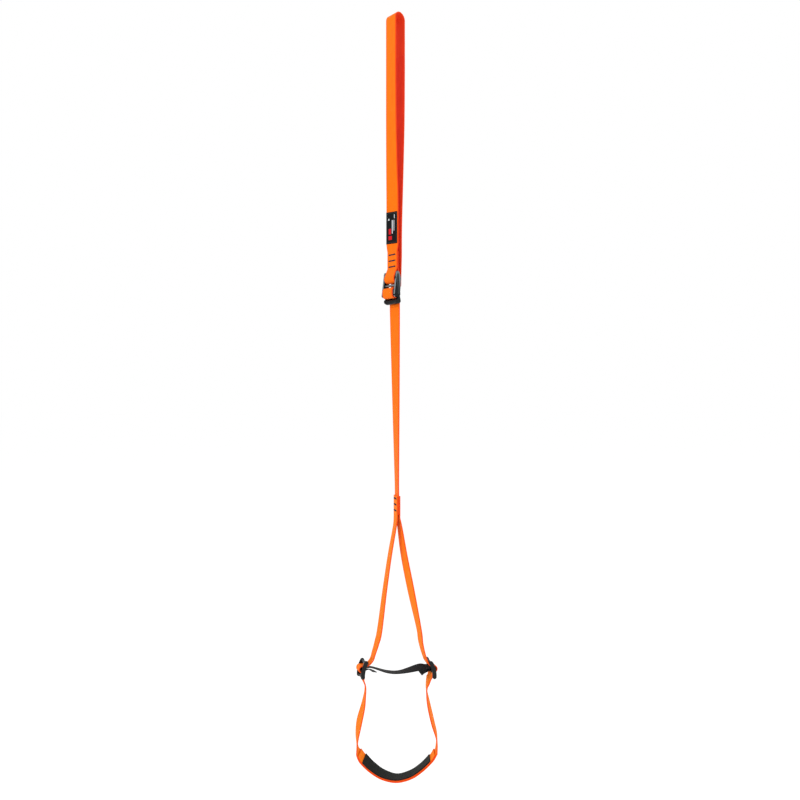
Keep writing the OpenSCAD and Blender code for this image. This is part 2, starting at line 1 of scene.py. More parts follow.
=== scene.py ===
"""Adjustable foot loop: orange webbing, a black camming buckle, and a padded stirrup with an instep strap.

Every length is in millimetres until a mesh is made, and a route is laid out as in the part's own
source. A strap is one smooth route, cut where the bodies it belongs to meet.
"""
import bpy
import numpy as np
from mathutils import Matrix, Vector


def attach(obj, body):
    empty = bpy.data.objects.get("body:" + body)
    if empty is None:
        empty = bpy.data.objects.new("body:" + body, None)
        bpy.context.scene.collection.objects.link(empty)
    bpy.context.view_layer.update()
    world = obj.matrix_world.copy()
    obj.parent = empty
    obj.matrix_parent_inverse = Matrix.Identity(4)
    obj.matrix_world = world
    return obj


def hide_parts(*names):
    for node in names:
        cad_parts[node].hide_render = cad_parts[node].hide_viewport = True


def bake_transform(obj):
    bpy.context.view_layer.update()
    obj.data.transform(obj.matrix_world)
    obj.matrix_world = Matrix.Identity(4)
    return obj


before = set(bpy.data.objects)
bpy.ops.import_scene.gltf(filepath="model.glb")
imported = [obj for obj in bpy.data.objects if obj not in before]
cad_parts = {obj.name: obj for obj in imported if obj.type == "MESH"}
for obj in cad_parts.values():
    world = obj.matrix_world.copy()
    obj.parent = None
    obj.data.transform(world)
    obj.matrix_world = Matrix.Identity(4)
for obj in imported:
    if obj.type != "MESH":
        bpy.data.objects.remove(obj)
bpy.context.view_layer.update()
MM = 0.001

# ---- Sizes, as the part states them ------------------------------------------
WEBBING_W, WEBBING_T = 25.0, 2.1
STRAP_GAP = 0.2
CROWN_R, CROWN_LEG = 10.0, 60.0
LOOP_TURN, LABEL_TURN, STACK_TURN = 45.0, 14.0, 75.0
PIN_Z = -465.0
LABEL_W, LABEL_H, LABEL_T = 23.0, 57.0, 0.5
TACK_W, TACK_H, TACK_PITCH = 17.0, 2.4, 10.7
TOP_BAR_R, BOTTOM_BAR_R = 6.0, 5.0
LOCK_D, LOCK_H, LOCK_DROP, BOTTOM_DROP = 8.0, 14.0, 26.1, 40.7
STACK_Z, STACK_H = PIN_Z - 388.6, 33.0
HANG_X = 2.7
LEG_DROP, LEG_SPREAD, LEFT_OUT, LEFT_LOW = 309.5, 62.0, 1.6, 1.8
SLIDER_L, RAIL_D, END_BAR_R, MID_BAR_R, BOW = 32.0, 7.5, 2.3, 2.2, 45.0
SLIDER_TILT, SLIDER_ROLL, SLIDER_TURN = {-1: 17.0, 1: 13.0}, {-1: 9.0, 1: 5.0}, 15.0
BULGE = 6.8
INSTEP_W, INSTEP_T, INSTEP_SAG, TAIL_L = 20.0, 1.4, 9.0, 24.0
STEP_DROP, STEP_HALF, STEP_ROLL = 201.5, 72.5, 4.0
PAD_OVER, PAD_T = 0.3, 1.8
PAD_W = WEBBING_W + 2 * PAD_OVER
HALF_T = WEBBING_T / 2
LAYER = WEBBING_T + 0.1
LEFT, RIGHT = -1, 1


# ---- Routes ---------------------------------------------------------------------
def unit(v):
    return v / np.linalg.norm(v, axis=-1, keepdims=True)


def mix(a, b, f):
    return a + (b - a) * f


def turned(v, degrees):
    """v turned about the vertical."""
    a = np.radians(degrees)
    return np.array([v[0] * np.cos(a) - v[1] * np.sin(a), v[0] * np.sin(a) + v[1] * np.cos(a), v[2]])


def leaned(v, degrees):
    """v turned about Y, from Z towards X."""
    a = np.radians(degrees)
    return np.array([v[0] * np.cos(a) + v[2] * np.sin(a), v[1], v[2] * np.cos(a) - v[0] * np.sin(a)])


def rolled(v, degrees):
    """v turned about X, from Y towards Z."""
    a = np.radians(degrees)
    return np.array([v[0], v[1] * np.cos(a) - v[2] * np.sin(a), v[1] * np.sin(a) + v[2] * np.cos(a)])


def smooth(control, per=24):
    """A curve through rows of control points: between two rows it is the cubic whose slope at
    each is half the step between that row's neighbours. Returns rows and the knot of each."""
    c = np.vstack([2 * control[0] - control[1], control, 2 * control[-1] - control[-2]])
    knot = np.arange((len(control) - 1) * per + 1) / per
    i = np.minimum(knot.astype(int), len(control) - 2)
    t = (knot - i)[:, None]
    p, q, r, s = c[i], c[i + 1], c[i + 2], c[i + 3]
    rows = 0.5 * (2 * q + (r - p) * t + (2 * p - 5 * q + 4 * r - s) * t ** 2
                  + (3 * q - p - 3 * r + s) * t ** 3)
    return rows, knot


def straight(control, gap=0.6):
    """The same rows joined by straight lines, with a row every gap along them."""
    control = np.asarray(control, float)
    run = np.r_[0, np.cumsum(np.linalg.norm(np.diff(control[:, :3], axis=0), axis=1))]
    at = np.unique(np.r_[np.arange(0, run[-1], gap), run])
    rows = np.column_stack([np.interp(at, run, control[:, k]) for k in range(control.shape[1])])
    return rows, np.interp(at, run, np.arange(len(control)))


class Lane:
    """A strap's route as arrays: its middle, width direction, outward direction, knot and length run.

    The width lies along [cos turn, -sin turn], raised by roll, less its part along the route;
    outwards is the route's direction crossed with the width."""

    def __init__(self, rows, knot, relax=0):
        mid = rows[:, :3].copy()
        for _ in range(relax):
            mid[1:-1] = (mid[:-2] + 2 * mid[1:-1] + mid[2:]) / 4
        along = np.empty_like(mid)
        along[1:-1] = mid[2:] - mid[:-2]
        along[0], along[-1] = mid[1] - mid[0], mid[-1] - mid[-2]
        along = unit(along)
        turn, roll = np.radians(rows[:, 3]), np.radians(rows[:, 4])
        wide = np.column_stack([np.cos(turn) * np.cos(roll), -np.sin(turn) * np.cos(roll), np.sin(roll)])
        wide = unit(wide - (wide * along).sum(1)[:, None] * along)
        self.mid, self.wide, self.out, self.knot = mid, wide, np.cross(along, wide), knot
        self.run = np.r_[0, np.cumsum(np.linalg.norm(np.diff(mid, axis=0), axis=1))]

    def lay(self, start, end, gap=0.9):
        """Stations from one run to another, evenly spaced."""
        at = np.linspace(start, end, max(3, int((end - start) / gap) + 2))
        pick = lambda a: np.column_stack([np.interp(at, self.run, a[:, k]) for k in range(3)])
        return pick(self.mid), unit(pick(self.wide)), unit(pick(self.out)), at

    def at_knot(self, knot):
        return float(np.interp(knot, self.knot, self.run))

    def at_height(self, z):
        """The run at a height, on a route that only goes down."""
        return float(np.interp(-z, -self.mid[:, 2], self.run))


def in_loop(points):
    """[depth in front of the loop's middle plane, height, label turn] as rows of a route."""
    a = np.radians(LOOP_TURN)
    return np.array([[-np.sin(a) * p[0], -np.cos(a) * p[0], p[1], LOOP_TURN - (p[2] if len(p) > 2 else 0), 0]
                     for p in points])


def arc(centre, r, a, b, n):
    f = np.radians(np.linspace(a, b, n + 1))
    return np.column_stack([centre[0] + r * np.cos(f), centre[1] + r * np.sin(f)])


def touch(start, centre, r, side):
    """Angle on a circle at which a line from a point outside touches it."""
    v = np.subtract(start, centre)
    return np.degrees(np.arctan2(v[1], v[0]) + side * np.arccos(r / np.hypot(*v)))


# ---- Meshes ---------------------------------------------------------------------
def make(name, points, faces, uv=None, flat=False):
    """A mesh object from points in millimetres, faces and an optional UV for each corner, in metres."""
    mesh = bpy.data.meshes.new(name)
    mesh.from_pydata((np.asarray(points) * MM).tolist(), [], [list(map(int, f)) for f in faces])
    if uv is not None:
        layer = mesh.uv_layers.new(name="UVMap")
        layer.data.foreach_set("uv", np.asarray(uv, np.float32).ravel())
    mesh.polygons.foreach_set("use_smooth", np.full(len(mesh.polygons), not flat))
    mesh.update()
    thing = bpy.data.objects.new(name, mesh)
    bpy.context.scene.collection.objects.link(thing)
    return thing


FACE_POINTS, EDGE_POINTS = 17, 7


def section(width, thick):
    """A strap's section, anticlockwise seen from its start: straight across the outer face, round
    one edge in a half circle, back across the inner face and round the other. Returns offsets
    and the distance round, counted from the outer face's first edge."""
    r = thick / 2
    flat = width / 2 - r
    top = np.column_stack([np.linspace(-flat, flat, FACE_POINTS), np.full(FACE_POINTS, r)])
    f = np.radians(np.linspace(90, -90, EDGE_POINTS + 2)[1:-1])
    side = np.column_stack([flat + r * np.cos(f), r * np.sin(f)])
    loop = np.vstack([top, side, -top, -side])
    step = np.linalg.norm(np.diff(np.vstack([loop, loop[:1]]), axis=0), axis=1)
    return loop, np.r_[0, np.cumsum(step)]


def sweep(name, stations, shape, round_run, off=0.0):
    """A section carried along stations: point = middle + wide * x + out * (off + y).
    The UV is the distance round the section and the run, both in metres."""
    mid, wide, out, run = stations
    n, m = len(mid), len(shape)
    points = (mid[:, None] + wide[:, None] * shape[None, :, :1]
              + out[:, None] * (off + shape[None, :, 1:])).reshape(-1, 3)
    i, j = np.meshgrid(np.arange(n - 1), np.arange(m), indexing="ij")
    nxt = (j + 1) % m
    quads = np.stack([i * m + j, (i + 1) * m + j, (i + 1) * m + nxt, i * m + nxt], -1).reshape(-1, 4)
    u0, u1 = round_run[j], round_run[j + 1]
    uv = np.stack([np.stack([u0, run[i]], -1), np.stack([u0, run[i + 1]], -1),
                   np.stack([u1, run[i + 1]], -1), np.stack([u1, run[i]], -1)], 2).reshape(-1, 2)
    faces = quads.tolist() + [list(range(m)), [(n - 1) * m + k for k in range(m)][::-1]]
    for s in (0, n - 1):
        spread = np.column_stack([shape[:, 0] + shape[:, 1], np.full(m, run[s])])
        uv = np.vstack([uv, spread if s == 0 else spread[::-1]])
    return make(name, points, faces, np.asarray(uv) * MM)


def rod(path, radius, sides):
    """A round thread along a path: a circle square to the path's direction at each point."""
    path = np.asarray(path, float)
    along = unit(np.gradient(path, axis=0))
    guide = np.array([0.31, 0.22, 0.92])
    a = unit(np.cross(along, guide))
    b = np.cross(along, a)
    f = np.linspace(0, 2 * np.pi, sides, endpoint=False)
    ring = np.column_stack([np.cos(f), np.sin(f)])
    radius = np.broadcast_to(radius, len(path))
    points = (path[:, None] + radius[:, None, None]
              * (a[:, None] * ring[None, :, :1] + b[:, None] * ring[None, :, 1:])).reshape(-1, 3)
    n, m = len(path), sides
    i, j = np.meshgrid(np.arange(n - 1), np.arange(m), indexing="ij")
    nxt = (j + 1) % m
    faces = np.stack([i * m + j, i * m + nxt, (i + 1) * m + nxt, (i + 1) * m + j], -1).reshape(-1, 4).tolist()
    faces += [list(range(m))[::-1], [(n - 1) * m + k for k in range(m)]]
    return points, faces


def joined(name, parts):
    """Several (points, faces) as one mesh."""
    points, faces, base = [], [], 0
    for p, f in parts:
        points.append(p)
        faces += [[v + base for v in g] for g in f]
        base += len(p)
    return make(name, np.vstack(points), faces)


# ---- Materials ------------------------------------------------------------------
MATH = "ShaderNodeMath"


def linear(code):
    """An sRGB hex value as linear RGBA."""
    c = np.array([int(code[k:k + 2], 16) for k in (1, 3, 5)]) / 255
    return (*np.where(c <= 0.04045, c / 12.92, ((c + 0.055) / 1.055) ** 2.4).tolist(), 1.0)


def add(tree, kind, settings=None, inputs=None):
    """A node of one kind, with its settings, and its inputs as values or as other sockets."""
    node = tree.nodes.new(kind)
    for key, value in (settings or {}).items():
        setattr(node, key, value)
    for key, value in (inputs or {}).items():
        if isinstance(value, bpy.types.Node):
            value = value.outputs[0]
        if isinstance(value, bpy.types.NodeSocket):
            tree.links.new(value, node.inputs[key])
        else:
            node.inputs[key].default_value = value
    return node


def new_material(name):
    material = bpy.data.materials.new(name)
    material.use_nodes = True
    tree = material.node_tree
    tree.nodes.clear()
    return material, tree


def woven(name, width, thick, outer, inner, edge, gap, warp, pick, depth, rough, sheen=0.04):
    """Woven narrow fabric. Warp ends run along the strap, warp apart; they float over picks
    in steps that lean towards the middle, which gives a chevron. Round the section the UV's
    first number is a distance, so one period of it is a face and an edge."""
    material, tree = new_material(name)

    place = add(tree, "ShaderNodeUVMap", {"uv_map": "UVMap"})
    parts = add(tree, "ShaderNodeSeparateXYZ", None, {0: place})
    flat = width - thick
    period = flat + np.pi * thick / 2
    round_section = add(tree, MATH, {"operation": "MULTIPLY"}, {0: parts.outputs[0], 1: 1 / MM})
    along = add(tree, MATH, {"operation": "MULTIPLY"}, {0: parts.outputs[1], 1: 1 / MM})
    across = add(tree, MATH, {"operation": "MODULO"}, {0: round_section, 1: period})
    # 0 on the outer face, 1 on the inner one
    side = add(tree, MATH, {"operation": "GREATER_THAN"}, {0: round_section, 1: period})
    # Distance from the strap's middle line
    from_middle = add(tree, MATH, {"operation": "SUBTRACT"}, {0: across, 1: flat / 2})
    away = add(tree, MATH, {"operation": "ABSOLUTE"}, {0: from_middle})
    # A rib for each warp end: the size of a sine with half a turn to an end
    column = add(tree, MATH, {"operation": "DIVIDE"}, {0: away, 1: warp})
    half_turns = add(tree, MATH, {"operation": "MULTIPLY"}, {0: column, 1: np.pi})
    rib_wave = add(tree, MATH, {"operation": "SINE"}, {0: half_turns})
    ribs = add(tree, MATH, {"operation": "ABSOLUTE"}, {0: rib_wave})
    rounded = add(tree, MATH, {"operation": "POWER"}, {0: ribs, 1: 0.6})
    # A float for each pick, a quarter of one later on every next warp end
    picks = add(tree, MATH, {"operation": "DIVIDE"}, {0: along, 1: pick})
    end_number = add(tree, MATH, {"operation": "FLOOR"}, {0: column})
    lag = add(tree, MATH, {"operation": "MULTIPLY"}, {0: end_number, 1: 0.25})
    phase = add(tree, MATH, {"operation": "ADD"}, {0: picks, 1: lag})
    turns = add(tree, MATH, {"operation": "MULTIPLY"}, {0: phase, 1: 2 * np.pi})
    float_wave = add(tree, MATH, {"operation": "SINE"}, {0: turns})
    floats = add(tree, MATH, {"operation": "MULTIPLY_ADD"}, {0: float_wave, 1: 0.5, 2: 0.5})
    lifted = add(tree, MATH, {"operation": "MULTIPLY_ADD"}, {0: floats, 1: 0.55, 2: 0.45})
    raised = add(tree, MATH, {"operation": "MULTIPLY"}, {0: rounded, 1: lifted})
    # Uneven dye along the strap, and the fuzz of its fibres
    wide_cloud = add(tree, "ShaderNodeVectorMath", {"operation": "MULTIPLY"},
                     {0: place, 1: (160.0, 45.0, 1.0)})
    cloud = add(tree, "ShaderNodeTexNoise", None, {"Vector": wide_cloud, "Scale": 1.0, "Detail": 3.0})
    fine_fuzz = add(tree, "ShaderNodeVectorMath", {"operation": "MULTIPLY"},
                    {0: place, 1: (2200.0, 1500.0, 1.0)})
    fuzz = add(tree, "ShaderNodeTexNoise", None, {"Vector": fine_fuzz, "Scale": 1.0, "Detail": 2.0})
    # The two faces, then the edges, then the low places between the threads, painted darker: painted shade in
    # the weave's hollows
    faces = add(tree, "ShaderNodeMix", {"data_type": "RGBA"}, {0: side, 6: linear(outer), 7: linear(inner)})
    # The rounded edges are mixed towards the edge colour: partly the selvedge's own colour, partly painted
    # shade along the edges
    past_face = add(tree, MATH, {"operation": "SUBTRACT"}, {0: away, 1: flat / 2 - 0.9})
    not_before = add(tree, MATH, {"operation": "MAXIMUM"}, {0: past_face, 1: 0.0})
    edge_share = add(tree, MATH, {"operation": "MULTIPLY"}, {0: not_before, 1: 0.9})
    in_edge = add(tree, MATH, {"operation": "MINIMUM"}, {0: 1.0, 1: edge_share})
    with_edge = add(tree, "ShaderNodeMix", {"data_type": "RGBA"},
                    {0: in_edge, 6: faces.outputs[2], 7: linear(edge)})
    # Painted shade: where the weave's relief is low, the colour is mixed up to halfway towards the dark gap
    # colour
    sunk = add(tree, MATH, {"operation": "SUBTRACT"}, {0: 1.0, 1: raised})
    low = add(tree, MATH, {"operation": "MULTIPLY"}, {0: sunk, 1: 0.5})
    hollow_shaded_colour = add(tree, "ShaderNodeMix", {"data_type": "RGBA"},
               {0: low, 6: with_edge.outputs[2], 7: linear(gap)})
    tone = add(tree, MATH, {"operation": "MULTIPLY_ADD"}, {0: cloud, 1: 0.3, 2: 0.85})
    grey = add(tree, "ShaderNodeCombineColor", None, {0: tone, 1: tone, 2: tone})
    tint = add(tree, "ShaderNodeMix", {"data_type": "RGBA", "blend_type": "MULTIPLY"},
               {0: 1.0, 6: hollow_shaded_colour.outputs[2], 7: grey})
    nap = add(tree, MATH, {"operation": "MULTIPLY"}, {0: fuzz, 1: 0.25})
    height = add(tree, MATH, {"operation": "ADD"}, {0: raised, 1: nap})
    uneven = add(tree, MATH, {"operation": "MULTIPLY_ADD"}, {0: fuzz, 1: 0.2, 2: rough})
    bump = add(tree, "ShaderNodeBump", None, {"Strength": 0.8, "Distance": depth * MM, "Height": height})
    shader = add(tree, "ShaderNodeBsdfPrincipled", None,
                 {"Base Color": tint.outputs[2], "Normal": bump,
                  "Roughness": uneven, "Sheen Weight": sheen, "Sheen Roughness": 0.5,
                  "IOR": 1.5, "Specular IOR Level": 0.08})
    add(tree, "ShaderNodeOutputMaterial", None, {"Surface": shader})
    return material


def coated(name, colour, bare, grain, rough, metal=0.0, coat=0.0, specular=0.22):
    """A hard finish: colour with a fine grain, and a second tone where it is rubbed."""
    material, tree = new_material(name)
    place = add(tree, "ShaderNodeTexCoord")
    speck = add(tree, "ShaderNodeTexNoise", None,
                {"Vector": place.outputs["Object"], "Scale": 1 / (grain * MM), "Detail": 3.0})
    patch = add(tree, "ShaderNodeTexNoise", None,
                {"Vector": place.outputs["Object"], "Scale": 90.0, "Detail": 4.0, "Roughness": 0.6})
    worn = add(tree, "ShaderNodeMapRange", None,
               {"Value": patch, "From Min": 0.52, "From Max": 0.72, "To Min": 0.0, "To Max": 0.5})
    tint = add(tree, "ShaderNodeMix", {"data_type": "RGBA"}, {0: worn, 6: linear(colour), 7: linear(bare)})
    bump = add(tree, "ShaderNodeBump", None, {"Strength": 0.5, "Distance": 0.06 * MM, "Height": speck})
    shine = add(tree, MATH, {"operation": "MULTIPLY_ADD"}, {0: speck, 1: 0.2, 2: rough - 0.1})
    shader = add(tree, "ShaderNodeBsdfPrincipled", None,
                 {"Base Color": tint.outputs[2], "Normal": bump, "Metallic": metal, "Roughness": shine,
                  "Coat Weight": coat, "Coat Roughness": 0.25, "IOR": 1.5, "Specular IOR Level": specular})
    add(tree, "ShaderNodeOutputMaterial", None, {"Surface": shader})
    return material


# Polyamide load webbing, dyed orange and heat set: a soft satin face with a chevron weave.
# Warp ends are about 1.1 mm apart on such webbing, and a float runs over about 2.4 mm.
# The weave is its warp spacing, pick, relief and roughness.
WEAVE = (1.15, 2.6, 0.22, 0.6)
# Its inner face is painted redder than its outer face: painted shade
ORANGE = woven("dyed_polyamide_webbing", WEBBING_W, WEBBING_T, "#F67200", "#EC600A", "#E84410", "#D84804",
               *WEAVE)
# The crown's far side, its inner face, is painted redder: painted shade inside the loop
ORANGE_CROWN_SHADED = woven("crown_webbing_painted_shade", WEBBING_W, WEBBING_T, "#F67200", "#EC3A1C", "#E84410",
                     "#D84804", *WEAVE)
# The stirrup's webbing, its inner face painted a touch lighter than its outer: painted light on a face that
# lies in shade; its edges less red
ORANGE_STIRRUP = woven("stirrup_polyamide_webbing", WEBBING_W, WEBBING_T, "#F47A00", "#F6820A", "#E84A10",
                       "#DC5602", *WEAVE, 0.02)
# The same webbing on the rear leg, its face towards the front painted redder: painted shade behind the front
# leg
ORANGE_SHADED_REAR = woven("shaded_rear_polyamide_webbing", WEBBING_W, WEBBING_T, "#EC3A1C", "#F67200", "#E84410",
                      "#D23214", *WEAVE)
# The same weave in black polyester, thinner, with cords along it
BLACK_STRAP = woven("black_polyester_webbing", INSTEP_W, INSTEP_T, "#191A1C", "#181A1C", "#141517", "#0A0B0C",
                    2.2, 1.6, 0.3, 0.6)
# Tread sheet: black polyester backed rubber, its face moulded in a fine chevron
TREAD = woven("ribbed_rubber_tread", PAD_W, PAD_T, "#171A17", "#171A17", "#131513", "#0A0B0A",
              1.9, 3.2, 0.35, 0.6)
# Bonded polyamide thread, dark navy, with the slight shine of a twisted thread
THREAD = coated("bonded_thread", "#24263A", "#34374C", 0.3, 0.55, specular=0.2)
# Pressed steel with a black electrophoretic coat, a little lighter in worn patches; the grey along the
# cheeks' edges is painted highlight, below
COATED_STEEL = coated("black_coated_steel", "#090A0B", "#1A1C1E", 0.25, 0.3, 0.0, 0.03, specular=0.14)
# The thicker rolled rib along each cheek's edge, painted light grey: painted highlight along its rounded
# front
RIB_HIGHLIGHT_STEEL = coated("rib_painted_highlight_steel", "#6A6F72", "#44484B", 0.25, 0.36, 0.4, 0.1)
# Turned stainless steel, satin from tumbling
SATIN_STEEL = coated("tumbled_steel", "#7E8286", "#5C6064", 0.2, 0.38, 1.0)
# Moulded polyacetal, black, with the faint spark eroded grain of its mould
POLYACETAL = coated("moulded_polyacetal", "#0D0E0F", "#17191B", 0.35, 0.38)


def dressed(thing, material, body=None, replaces=()):
    thing.data.materials.clear()
    thing.data.materials.append(material)
    if body:
        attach(thing, body)
    if replaces:
        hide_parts(*([replaces] if isinstance(replaces, str) else replaces))
    return thing


WEB = section(WEBBING_W, WEBBING_T)


def band(name, stations, body=None, across=None, replaces=(), shape=WEB, off=0.0,
         material=ORANGE):
    """A strap. across is (body, body, start, end) where it runs between two bodies; only whether it is given
    is read, and then the strap's transform is baked into its mesh.
    """
    strap = sweep(name, stations, shape[0], shape[1], off)
    dressed(strap, material, body, replaces)
    if across:
        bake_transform(strap)
    return strap


def level(z):
    return (0, 0, z)


# ---- Top loop ---------------------------------------------------------------------
CROWN_MID = CROWN_R + HALF_T
FRONT_D, REAR_D, REAR_IN_D = 7.6, -3.4, -1.7
TACK_TOP = PIN_Z + 43.4
LABEL_Z = TACK_TOP + 48.3
LABEL_TOP, LABEL_LOW = LABEL_Z + LABEL_H / 2 + 9, LABEL_Z - LABEL_H / 2 - 2
LEG_TOP = -CROWN_LEG

crown_rows, crown_knot = straight(in_loop(
    [(CROWN_MID, LEG_TOP)] + arc((0, 0), CROWN_MID, 0, 180, 60).tolist() + [(-CROWN_MID, LEG_TOP)]), 0.5)
crown = Lane(crown_rows, crown_knot)
crown.out = -crown.out
crown.wide = -crown.wide
band("crown_webbing", crown.lay(0, crown.run[-1], 0.7), "connector_loop", replaces="loop_crown",
     material=ORANGE_CROWN_SHADED)

front_shares = [(CROWN_MID, 0, 0), (CROWN_MID, 0.12, 0), (mix(CROWN_MID, FRONT_D, 0.1), 0.4, 2),
                (mix(CROWN_MID, FRONT_D, 0.45), 0.7, 7), (mix(CROWN_MID, FRONT_D, 0.9), 0.9, LABEL_TURN - 1),
                (FRONT_D, 1, LABEL_TURN)]
front = Lane(*smooth(in_loop([(d, mix(LEG_TOP, LABEL_TOP, f), t) for d, f, t in front_shares])))
band("front_leg_webbing", front.lay(0, front.run[-1]), replaces="loop_front_leg",
     across=("connector_loop", "eye", level(LEG_TOP), level(LABEL_TOP)))

REAR_END = PIN_Z + 42
FOLD_TOP = PIN_Z - 5
rear_shares = [(CROWN_MID, 0), (CROWN_MID, 0.1), (mix(CROWN_MID, -REAR_D, 0.12), 0.35),
               (mix(CROWN_MID, -REAR_D, 0.5), 0.6), (mix(CROWN_MID, -REAR_D, 0.93), 0.85), (-REAR_D, 1)]
rear = Lane(*smooth(in_loop([(-d, mix(LEG_TOP, REAR_END, f)) for d, f in rear_shares])))
band("rear_leg_webbing", rear.lay(0, rear.run[-1]), replaces="loop_rear_leg", material=ORANGE_SHADED_REAR,
     across=("connector_loop", "eye", level(LEG_TOP), level(REAR_END)))
tail_lane = Lane(*straight(in_loop([(REAR_D, REAR_END), (REAR_IN_D, FOLD_TOP)])))
band("rear_leg_end_webbing", tail_lane.lay(0, tail_lane.run[-1]), replaces="rear_leg_tail",
     material=ORANGE_SHADED_REAR, across=("eye", "buckle", level(REAR_END), level(FOLD_TOP)))

# The eye goes round the top bar and is sewn back on itself
TOP_BAR_D, BOTTOM_BAR_D = 8.5, 8.0
LOCK_BAR_D = BOTTOM_BAR_D + 6.8
EYE_R = TOP_BAR_R + STRAP_GAP + HALF_T
eye_centre = (TOP_BAR_D, PIN_Z)
eye_front, eye_back = (FRONT_D, PIN_Z + 19), (FRONT_D - LAYER, PIN_Z + 19)
eye_from = touch(eye_front, eye_centre, EYE_R, -1)
eye_to = touch(eye_back, eye_centre, EYE_R, 1) - 360
eye_points = ([(FRONT_D, LABEL_TOP, LABEL_TURN), (FRONT_D, LABEL_LOW, LABEL_TURN),
               (FRONT_D, LABEL_LOW - 6, LABEL_TURN * 0.5), (FRONT_D, LABEL_LOW - 12), eye_front]
              + arc(eye_centre, EYE_R, eye_from, eye_to, 60).tolist()
              + [eye_back, (FRONT_D - LAYER, TACK_TOP + 5.5)])
eye = Lane(*straight(in_loop([tuple(p) for p in eye_points])), relax=3)
band("eye_webbing_sewn", eye.lay(0, eye.run[-1], 0.7), "eye", replaces="eye_webbing")

# The fold goes forward over the locking bar, back, and down behind the bottom bar
LOCK_Z, BOTTOM_Z = PIN_Z - LOCK_DROP, PIN_Z - BOTTOM_DROP
FOLD_R = LOCK_D / 2 + STRAP_GAP + HALF_T
LOW_R = BOTTOM_BAR_R + STRAP_GAP + HALF_T
over = (LOCK_BAR_D, LOCK_Z + LOCK_H / 2 - LOCK_D / 2)
under = (LOCK_BAR_D, LOCK_Z - LOCK_H / 2 + LOCK_D / 2)
way = np.subtract((BOTTOM_BAR_D, BOTTOM_Z), under)
under_to = np.degrees(np.arctan2(way[1], way[0]) + np.arccos((FOLD_R + LOW_R) / np.hypot(*way)))
FOLD_END = BOTTOM_Z - 9
fold_points = ([(REAR_IN_D, FOLD_TOP), (REAR_IN_D, FOLD_TOP - 3)]
               + arc((REAR_IN_D + 8, over[1] + FOLD_R + 8), 8, 180, 262, 20).tolist()
               + arc(over, FOLD_R, 96, 0, 30).tolist() + arc(under, FOLD_R, 0, under_to, 30).tolist()
               + arc((BOTTOM_BAR_D, BOTTOM_Z), LOW_R, under_to + 180, 180, 24).tolist()
               + [(BOTTOM_BAR_D - LOW_R, FOLD_END)])
fold = Lane(*straight(in_loop([tuple(p) for p in fold_points])), relax=3)
into = np.array([-np.sin(np.radians(LOOP_TURN)), -np.cos(np.radians(LOOP_TURN)), 0])
band("fold_webbing_threaded", fold.lay(0, fold.run[-1], 0.6), replaces="fold_webbing",
     across=("buckle", "locking_bar", into * 9 + level(LOCK_Z), into * LOCK_BAR_D + level(LOCK_Z)))

# ---- Main strap ---------------------------------------------------------------------
strap_start = into * (BOTTOM_BAR_D - LOW_R)
RUNOUT_Z = FOLD_END - 66
SWING_Z = STACK_Z + 4
BEND_Z = SWING_Z + 18
STRAP_END_Z = BEND_Z + 40
z = np.linspace(FOLD_END, SWING_Z, 600)
share = (FOLD_END - z) / (FOLD_END - SWING_Z)
twist = np.clip((FOLD_END - 6 - z) / (FOLD_END - 6 - BEND_Z), 0, 1)
main = Lane(np.column_stack([mix(strap_start[0], HANG_X, share), mix(strap_start[1], 0, share), z,
                             mix(LOOP_TURN, STACK_TURN, twist), np.zeros(600)]), share)
for name, top, low, pair in (("strap_runout", FOLD_END, RUNOUT_Z, ("buckle", "eye")),
                             ("main_strap", RUNOUT_Z, STRAP_END_Z, ("eye", "strap_end")),
                             ("strap_end", STRAP_END_Z, BEND_Z, None),
                             ("strap_bend", BEND_Z, SWING_Z, ("strap_end", "stirrup"))):
    band(name + "_webbing", main.lay(main.at_height(top), main.at_height(low)),
         None if pair else name, replaces=name,
         across=pair and (*pair, level(top), level(low)))

# ---- Stirrup ------------------------------------------------------------------------
STACK_END = STACK_Z - STACK_H
SLIDER_Z = STACK_Z - LEG_DROP
STEP_Z = SLIDER_Z - STEP_DROP
stack_out = turned(np.array([0.0, 1.0, 0.0]), -STACK_TURN)
stack_wide = turned(np.array([1.0, 0.0, 0.0]), -STACK_TURN)


def slider_spot(side):
    """A slider's middle bar; the left one hangs a little further out and lower."""
    out, low = (LEFT_OUT, LEFT_LOW) if side == LEFT else (0, 0)
    return np.array([HANG_X + side * (LEG_SPREAD + out), 0, SLIDER_Z - low])


def on_slider(side, down, out):
    """A point in a slider's own frame: down it and outwards from its middle bar."""
    return slider_spot(side) + turned(leaned(rolled((side * out, 0, -down), -SLIDER_ROLL[side]),
                                -side * SLIDER_TILT[side]), SLIDER_TURN)


def slider_row(side, p):
    return [*p, WIDTH_TURN, SLIDER_ROLL[side]]


